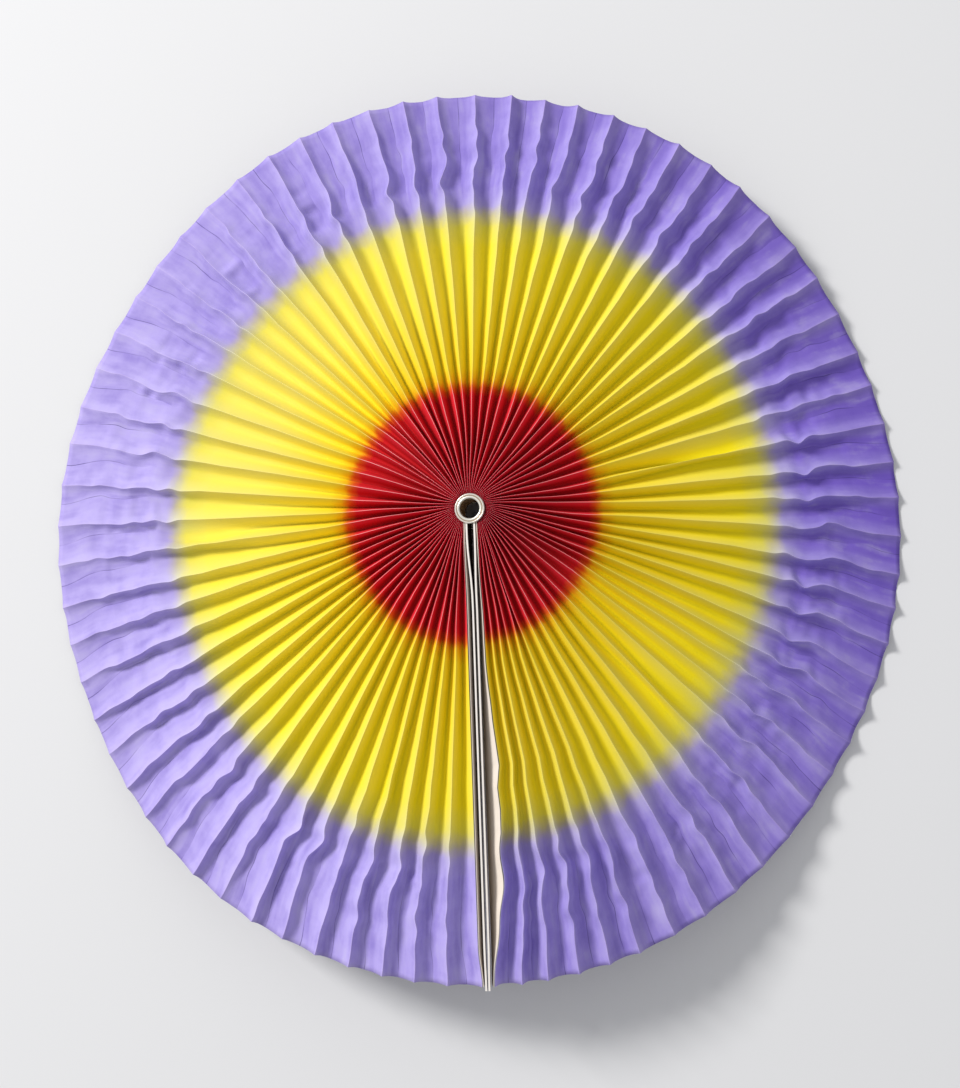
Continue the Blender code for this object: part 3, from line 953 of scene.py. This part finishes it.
    def faces(self) -> tuple[np.ndarray, np.ndarray]:
        """Works out the section of every face, from the rolled crown of its ridge to its valley.

        Returns:
            How far across its face each column lies, by face, column and row, and the height of
            the dyed side there above the middle surface.
        """
        heights = self.heights()
        steps = np.array(self.face_steps)[None, :, None]
        roll = np.minimum(self.most_crown, self.crown / np.abs(self.spans()))[:, None, :]
        plan = np.concatenate([0 * roll, roll + (1 - roll) * steps], axis=1)
        fall = np.abs(np.diff(heights, axis=0))[:, None, :]
        lost = np.minimum(self.most_crown * fall, self.crown_drop)
        share = 1 - (1 - steps) ** self.hooked()
        drop = np.concatenate([0 * lost, lost + (fall - lost) * share], axis=1)
        drop = drop + self.swollen() * np.sin(math.pi * plan)
        ridge_first = (np.arange(LAW.folds) % 2 == 0)[:, None, None]
        across = np.where(ridge_first, plan, 1 - plan[:, ::-1])
        sunk = np.where(ridge_first, drop, drop[:, ::-1])
        ridge = np.where(ridge_first, heights[:-1, None], heights[1:, None])
        return across, ridge - sunk

    @staticmethod
    def joined(values: np.ndarray) -> np.ndarray:
        """Strings the faces' columns together, with each shared fold once."""
        return np.concatenate([values[:, :-1].reshape(-1, values.shape[2]), values[-1, -1:]])

    def build(self) -> bpy.types.Object:
        """Makes the sheet's mesh with its strip coordinates.

        Returns:
            The sheet's object.
        """
        across, height = self.faces()
        azimuth, wall = (
            self.joined(values[:-1, None] * (1 - across) + values[1:, None] * across)
            for values in (self.azimuths, self.walls)
        )
        height = self.joined(height)
        fold = self.joined(np.arange(LAW.folds)[:, None, None] + across)
        upper = LAW.bowed(azimuth, self.radii[None, :])
        lower = upper.copy()
        upper[..., 2] += height
        lower[..., 2] += height - wall
        sheet = closed_layer("dyed_pleated_paper", LAW.placed(upper), LAW.placed(lower))
        self.mark(sheet, fold, across.shape[1] - 1)
        return sheet

    def mark(self, sheet: bpy.types.Object, fold: np.ndarray, per_face: int) -> None:
        """Stores the strip coordinates and keeps the folds crisp.

        Args:
            sheet: The sheet's object.
            fold: Fold coordinate by column and row.
            per_face: Columns in one face.
        """
        mesh = sheet.data
        columns, rows = fold.shape
        count = columns * rows
        along = np.tile(fold.ravel() * LAW.pleat_width / MM, 2)
        out = np.tile(self.radii / MM, 2 * columns)
        place = np.stack([along, out, np.repeat([1.0, 0.0], count)], -1)
        layer = mesh.attributes.new("strip_mm", "FLOAT_VECTOR", "POINT")
        layer.data.foreach_set("vector", place.astype(np.float32).ravel())
        ends = np.empty(2 * len(mesh.edges), np.int32)
        mesh.edges.foreach_get("vertices", ends)
        first, second = ends.reshape(-1, 2).T
        column, side = (first % count) // rows, first // count
        same_column = (second % count) // rows == column
        in_pleat = column % (2 * per_face)
        crown = (in_pleat == 1) | (in_pleat == 2 * per_face - 1)
        valley = (in_pleat == per_face) & (first % rows > rows // 2)
        crisp = (side != second // count) | (same_column & (crown | valley))
        sharp = mesh.attributes.new("sharp_edge", "BOOLEAN", "EDGE")
        sharp.data.foreach_set("value", crisp)
        mesh.polygons.foreach_set("use_smooth", np.ones(len(mesh.polygons), bool))
        mesh.update()

    def add(self) -> None:
        """Builds and dresses the sheet."""
        give(self.build(), "pleated_sheet", DyedPaper().material())


@dataclass(frozen=True)
class PlainPaper:
    """Plain white paper or card: matt, slightly warm, with a soft cloud of fibres.

    The eye reads it as uncoated stock, greyer than the floor where it stands in the seam, where its
    colour is darkened by painted shade.
    """

    name: str
    colour: str
    shade: str
    # Painted shade colour, deep in the seam
    seam_shade: str
    edge_share: float
    roughness: float = 0.85
    specular: float = 0.1
    cloud_mm: float = 3.0
    bump_mm: float = 0.02
    bump_strength: float = 0.4

    def material(self) -> bpy.types.Material:
        """Builds the paper's node material.

        Returns:
            The new material.
        """
        made = bpy.data.materials.new(self.name)
        made.use_nodes = True
        tree = made.node_tree
        shader = tree.nodes["Principled BSDF"]
        place = add_node(tree, "TexCoord", None, "Object")
        noise = {"Vector": place, "Scale": 1 / (self.cloud_mm * MM), "Detail": 4.0}
        cloud = add_node(tree, "TexNoise", noise)
        clouded = {0: cloud, 6: linear(self.colour), 7: linear(self.shade)}
        tint = add_node(tree, "Mix", clouded, 2, data_type="RGBA")
        # Painted shade: darker deep in the seam, where the rise attribute is low.
        rise = add_node(tree, "Attribute", None, "Fac", attribute_name="rise")
        sunk = add_node(tree, "MapRange", {0: rise, 1: 0.0, 2: self.edge_share, 3: 1.0, 4: 0.0})
        dimmed = {0: sunk, 6: tint, 7: linear(self.seam_shade)}
        colour = add_node(tree, "Mix", dimmed, 2, data_type="RGBA")
        raised = {"Height": cloud, "Strength": self.bump_strength, "Distance": self.bump_mm * MM}
        tree.links.new(colour, shader.inputs["Base Color"])
        tree.links.new(add_node(tree, "Bump", raised, "Normal"), shader.inputs["Normal"])
        shader.inputs["Roughness"].default_value = self.roughness
        shader.inputs["Specular IOR Level"].default_value = self.specular
        return made


@dataclass(frozen=True)
class NickelPlate:
    """Bright nickel plate on pressed steel, slightly warm, with faint handling smears.

    The eye reads a small soft-shining ring, browner in its groove and bore. Thin worn plate
    shines less than solid metal, so it is not fully metallic.
    """

    name: str = "nickel_plated_steel"
    bright: str = "f6f1e6"
    dull: str = "ddd6c8"
    tarnish: str = "b0906c"
    smear_mm: float = 2.5
    smears: Span = (0.3, 0.7)
    roughness: Span = (0.22, 0.38)
    metallic: float = 0.6

    def material(self) -> bpy.types.Material:
        """Builds the metal's node material.

        Returns:
            The new material.
        """
        made = bpy.data.materials.new(self.name)
        made.use_nodes = True
        tree = made.node_tree
        shader = tree.nodes["Principled BSDF"]
        place = add_node(tree, "TexCoord", None, "Object")
        noise = {"Vector": place, "Scale": 1 / (self.smear_mm * MM), "Detail": 3.0}
        smear = add_node(tree, "TexNoise", noise)
        smeared = {0: smear, 6: linear(self.bright), 7: linear(self.dull)}
        tint = add_node(tree, "Mix", smeared, 2, data_type="RGBA")
        rough = add_node(tree, "MapRange", dict(enumerate((smear, *self.smears, *self.roughness))))
        bore = add_node(tree, "Attribute", None, "Fac", attribute_name="in_bore")
        aged = {0: bore, 6: tint, 7: linear(self.tarnish)}
        colour = add_node(tree, "Mix", aged, 2, data_type="RGBA")
        tree.links.new(colour, shader.inputs["Base Color"])
        tree.links.new(rough, shader.inputs["Roughness"])
        shader.inputs["Metallic"].default_value = self.metallic
        return made


@dataclass
class SeamPieces:
    """The two card guards on edge, and the white leaf that faces the last pleat beside each."""

    sheet: PleatedSheet
    leaf_steps: int = 10
    belly: float = 0.12
    card_steps: tuple = (0.0, 0.02, 0.1, 0.5, 0.9, 0.98, 1.0)
    seam_shade_fades: Span = (0.4, 0.48)  # distance from a guard's middle, as a share of its height, over which its painted shade fades out
    # Least share by which a guard's outer faces are spared the painted shade
    outer_paleness: float = 0.4
    edge_round: float = 0.1 * MM
    round_angle: float = math.radians(60)
    # The fourth colour is painted shade deep in the seam; the last number is the rise at which it
    # has faded.
    card: PlainPaper = PlainPaper("white_card", "f5eee5", "ece3d9", "3c2e28", 1.0)
    leaf: PlainPaper = PlainPaper("white_paper", "efe3d5", "e5d8c8", "cfb99c", 0.6)

    def stood(self, radii: np.ndarray, sideways: np.ndarray, height: np.ndarray) -> np.ndarray:
        """Places points beside the seam.

        Args:
            radii: Distances from the hub.
            sideways: Distances from the seam's middle, positive to the right.
            height: Heights above the bowed middle surface.

        Returns:
            The placed points.
        """
        base = LAW.bowed(np.array(math.pi), radii)
        parts = np.broadcast_arrays(sideways, base[..., 1], base[..., 2] + height)
        return LAW.placed(np.stack(parts, -1))

    def shade(self, piece: bpy.types.Object, rise: np.ndarray) -> None:
        """Stores how near each point is to the piece's open edge, from 0 deep in the seam to 1,
        which sets the painted shade.

        Args:
            piece: A guard or a leaf.
            rise: The value for each column and row of the inner side, then of the outer side.
        """
        layer = piece.data.attributes.new("rise", "FLOAT", "POINT")
        layer.data.foreach_set("value", rise.ravel().astype(np.float32))

    def make_leaf(self, side: Side) -> bpy.types.Object:
        """Makes one white leaf, from its foot at the guard up to the end ridge.

        Args:
            side: Side of the seam.

        Returns:
            The leaf's object.
        """
        radii = self.sheet.radii[None, :]
        across = np.linspace(0, 1, self.leaf_steps + 1)[:, None]
        foot = SEAM.leaf_foot(radii)
        breadth = SEAM.ridge(side, radii) - LAW.clearance - SEAM.leaf - foot
        end = 0 if side is Side.LEFT else -1
        ridge = self.sheet.depths[end][None, :] / 2
        azimuth = self.sheet.azimuths[end][None, :]
        drop = LAW.bowed(azimuth, radii)[..., 2] - LAW.bowed(np.array(math.pi), radii)[..., 2]
        low = -LAW.pleat_width / 2
        inner = foot + across * breadth - self.belly * breadth * np.sin(math.pi * across)
        height = low + across * (ridge + drop - low)
        sides = [self.stood(radii, side.value * (inner + lift), height) for lift in (0, SEAM.leaf)]
        leaf = closed_layer(f"{side.name.lower()}_white_leaf", *sides)
        # Painted shade towards the leaf's foot.
        self.shade(leaf, np.stack([across + 0 * radii] * 2))
        return leaf

    def make_card(self, side: Side) -> bpy.types.Object:
        """Makes one card guard with softened edges.

        Args:
            side: Side of the seam.

        Returns:
            The guard's object.
        """
        radii = self.sheet.radii[None, :].copy()
        radii[0, -1] += SEAM.overhang
        across = np.array(self.card_steps)[:, None]
        height = LAW.pleat_width * (across - 0.5) + across * SEAM.proud + 0 * radii
        inner = SEAM.card_inner(radii)
        sides = [self.stood(radii, side.value * (inner + lift), height) for lift in (0, SEAM.card)]
        card = closed_layer(f"{side.name.lower()}_card_guard", *sides)
        # Painted shade: the guards' inner faces are dark except near their edges, their outer faces
        # partly darkened.
        start, end = self.seam_shade_fades
        pale = np.clip((np.abs(across - 0.5) - start) / (end - start), 0, 1) + 0 * radii
        outer = self.outer_paleness + (1 - self.outer_paleness) * pale
        self.shade(card, np.stack([pale, outer]))
        soft = card.modifiers.new("soft_edges", "BEVEL")
        soft.width = self.edge_round
        soft.segments = 2
        soft.limit_method = "ANGLE"
        soft.angle_limit = self.round_angle
        return card

    def add(self) -> None:
        """Builds and dresses the four pieces."""
        card, leaf = self.card.material(), self.leaf.material()
        for side in Side:
            word = side.name.lower()
            give(self.make_card(side), f"{word}_guard_card", card)
            give(self.make_leaf(side), f"{word}_end_leaf", leaf)


@dataclass(frozen=True)
class Bead:
    """A round bead in a turned section, as an arc of an ellipse in degrees."""

    start: float
    stop: float
    steps: int

    def points(self, centre: float, half: float, foot: float, rise: float) -> list[Span]:
        """Gives the bead's points.

        Args:
            centre: Distance of the bead's middle from the axis.
            half: Half the bead's width.
            foot: Level of its foot.
            rise: How far it rises from its foot.

        Returns:
            Points as distance from the axis and height.
        """
        angles = np.radians(np.linspace(self.start, self.stop, self.steps + 1))
        return list(zip(centre + half * np.cos(angles), foot + rise * np.sin(angles)))


@dataclass
class Hub:
    """The askew eyelet through the gathered pleats, and the washer on the back."""

    bore: float = 3.25 * MM
    wall: float = 0.3 * MM
    flange_width: float = 1.45 * MM
    flange_height: float = 0.6 * MM
    lip_share: float = 0.15  # of the flange's width
    crest_share: float = 0.9  # of the flange's height
    clinch_width: float = 0.7 * MM
    clinch_height: float = 0.5 * MM
    washer_width: float = 1.9 * MM
    washer: float = 0.35 * MM
    lip_bead: Bead = Bead(180, 30, 14)
    flange_bead: Bead = Bead(160, 0, 18)
    clinch_bead: Bead = Bead(0, 150, 12)
    groove_tarnish: float = 0.6
    crisp_angle: float = math.radians(38)

    @property
    def barrel(self) -> float:
        """Outer radius of the eyelet's tube."""
        return self.bore + self.wall

    @property
    def seat(self) -> float:
        """Height of the flange's underside above the middle of the gathered paper."""
        return (LAW.pleat_width + LAW.paper) / 2 + LAW.clearance

    def turned(self, name: str, section: list[Span]) -> bpy.types.Object:
        """Turns a closed section round the hub's axis, which leans with the askew eyelet.

        Args:
            name: Name of the new object.
            section: Points of the section as distance from the axis and height.

        Returns:
            The new object, linked to the scene.
        """
        angles = np.linspace(0, 2 * math.pi, TURN_STEPS, endpoint=False)[:, None]
        across, height = np.array(section).T[:, None, :]
        upright = [across * np.cos(angles), across * np.sin(angles), height + 0 * angles]
        placed = LAW.tipped(np.stack(upright, -1), -LAW.hub_lean) + np.array(HUB)
        at = np.arange(placed.shape[0] * placed.shape[1]).reshape(placed.shape[:2])
        onward, above = np.roll(at, -1, 0), np.roll(at, -1, 1)
        faces = np.stack([at, onward, np.roll(onward, -1, 1), above], -1).reshape(-1, 4)
        mesh = bpy.data.meshes.new(name)
        mesh.from_pydata(placed.reshape(-1, 3).tolist(), [], faces.tolist())
        mesh.polygons.foreach_set("use_smooth", np.ones(len(faces), bool))
        mesh.set_sharp_from_angle(angle=self.crisp_angle)
        piece = bpy.data.objects.new(name, mesh)
        bpy.context.scene.collection.objects.link(piece)
        return piece

    def eyelet(self) -> bpy.types.Object:
        """Makes the eyelet: bore lip, rolled flange, barrel and clinched lower end.

        Returns:
            The eyelet's object, with its tarnished points marked.
        """
        clinch = -(self.seat + self.washer + LAW.clearance)
        lip = self.wall + self.lip_share * self.flange_width
        groove = self.bore + 2 * lip
        roll = (self.barrel + self.flange_width - groove) / 2
        crest = self.crest_share * self.flange_height
        raised = self.seat + self.flange_height - crest
        inner = self.lip_bead.points(self.bore + lip, lip, raised, crest)
        outer = self.flange_bead.points(groove + roll, roll, self.seat, self.flange_height)
        under = [(self.barrel, self.seat), (self.barrel, clinch)]
        curl = self.clinch_width / 2
        tail = self.clinch_bead.points(self.barrel + curl, curl, clinch, -self.clinch_height)
        end = [(self.bore, clinch - self.clinch_height / 2)]
        section = inner + outer + under + tail + end
        eyelet = self.turned("nickel_eyelet", section)
        # Tarnished: a little in the groove between lip and flange, fully down the bore
        tarnish = np.zeros(len(section))
        tarnish[len(inner) - 3 : len(inner) + 2] = self.groove_tarnish
        tarnish[len(inner + outer + under) + len(tail) // 2 :] = 1.0
        tarnish[0] = 1.0
        layer = eyelet.data.attributes.new("in_bore", "FLOAT", "POINT")
        layer.data.foreach_set("value", np.tile(tarnish, TURN_STEPS).astype(np.float32))
        return eyelet

    def washer_ring(self) -> bpy.types.Object:
        """Makes the washer, sunk round its bore where the clinch curls.

        Returns:
            The washer's object.
        """
        top, bottom = -self.seat, -self.seat - self.washer
        inner = self.barrel + LAW.clearance
        outer = inner + self.washer_width
        sink = self.barrel + self.clinch_width + LAW.clearance / 2
        ease = self.washer / 3
        upper = [(inner, top), (outer - ease, top), (outer, top - ease)]
        lower = [(outer, bottom), (sink, bottom), (inner, bottom + ease)]
        return self.turned("nickel_washer", upper + lower)

    def add(self) -> None:
        """Builds and dresses both pieces."""
        nickel = NickelPlate().material()
        give(self.eyelet(), "eyelet", nickel)
        give(self.washer_ring(), "eyelet_washer", nickel)


@dataclass(frozen=True)
class Lamp:
    """One square soft lamp that shines at the hub: angles in radians, power in watts."""

    name: str
    azimuth: float
    height: float
    distance: float
    size: float
    power: float

    def add(self) -> None:
        """Hangs the lamp."""
        data = bpy.data.lights.new(self.name, "AREA")
        data.size = self.size
        data.energy = self.power
        level = math.cos(self.height)
        way = Vector(
            (math.sin(self.azimuth) * level, math.cos(self.azimuth) * level, math.sin(self.height))
        )
        lamp = bpy.data.objects.new(self.name, data)
        lamp.location = HUB + way * self.distance
        lamp.rotation_euler = way.to_track_quat("Z", "Y").to_euler()
        bpy.context.scene.collection.objects.link(lamp)


@dataclass
class Studio:
    """Plain pale floor, soft light and the camera, whose frame is measured in pixels."""

    frame_width: float = 960.0
    frame_height: float = 1088.0
    hub_seen: Span = (472.0, 510.0)
    view_scale: float = 457.5  # length of a fold at the hub's distance
    view_ratio: float = 3.0  # the camera's distance from the hub, in folds
    tilt: float = math.radians(8.49)
    yaw: float = math.radians(1.73)
    roll: float = math.radians(1.95)
    sensor: float = 36.0
    near: float = 0.01
    floor_colour: str = "e2e1e0"
    floor_roughness: float = 0.9
    floor_size: float = 8.0
    sky: tuple = (0.93, 0.95, 1.0, 1.0)
    sky_strength: float = 0.55
    key: Lamp = Lamp(
        "key", math.radians(-56), math.radians(36), distance=2.2, size=0.55, power=44.5
    )

    def camera(self) -> None:
        """Looks down on the rosette, nearer its guards, with the hub a little above the middle."""
        turn = (
            Matrix.Rotation(self.roll, 3, "Z")
            @ Matrix.Rotation(-self.tilt, 3, "X")
            @ Matrix.Rotation(-self.yaw, 3, "Y")
        ).transposed()
        distance = self.view_ratio * LAW.fold_length
        data = bpy.data.cameras.new("camera")
        data.sensor_width = self.sensor
        data.lens = self.view_scale * self.view_ratio * self.sensor / self.frame_height
        data.shift_x = (self.frame_width / 2 - self.hub_seen[0]) / self.frame_height
        data.shift_y = -(self.frame_height / 2 - self.hub_seen[1]) / self.frame_height
        data.clip_start = self.near
        eye = bpy.data.objects.new("camera", data)
        eye.matrix_world = Matrix.Translation(HUB + turn @ Vector((0, 0, distance))) @ turn.to_4x4()
        bpy.context.scene.collection.objects.link(eye)
        bpy.context.scene.camera = eye

    def floor(self) -> None:
        """Lays the plain pale floor."""
        half = self.floor_size / 2
        mesh = bpy.data.meshes.new("floor")
        corners = [(-half, -half, 0), (half, -half, 0), (half, half, 0), (-half, half, 0)]
        mesh.from_pydata(corners, [], [(0, 1, 2, 3)])
        floor = bpy.data.objects.new("floor", mesh)
        bpy.context.scene.collection.objects.link(floor)
        made = bpy.data.materials.new("matt_floor")
        made.use_nodes = True
        shader = made.node_tree.nodes["Principled BSDF"]
        shader.inputs["Base Color"].default_value = linear(self.floor_colour)
        shader.inputs["Roughness"].default_value = self.floor_roughness
        mesh.materials.append(made)

    def world(self) -> None:
        """Lights everything softly from all round."""
        world = bpy.data.worlds.new("studio")
        world.use_nodes = True
        back = world.node_tree.nodes["Background"]
        back.inputs["Color"].default_value = self.sky
        back.inputs["Strength"].default_value = self.sky_strength
        bpy.context.scene.world = world

    def set_up(self) -> None:
        """Makes the whole studio."""
        bpy.context.scene.view_settings.view_transform = "Standard"
        self.camera()
        self.floor()
        self.world()
        self.key.add()


def main() -> None:
    """Builds the sub-assemblies in order."""
    logging.basicConfig(level=logging.INFO, format="%(message)s")
    Studio().set_up()
    sheet = PleatedSheet()
    sheet.add()
    SeamPieces(sheet).add()
    Hub().add()


if __name__ == "__main__":
    main()
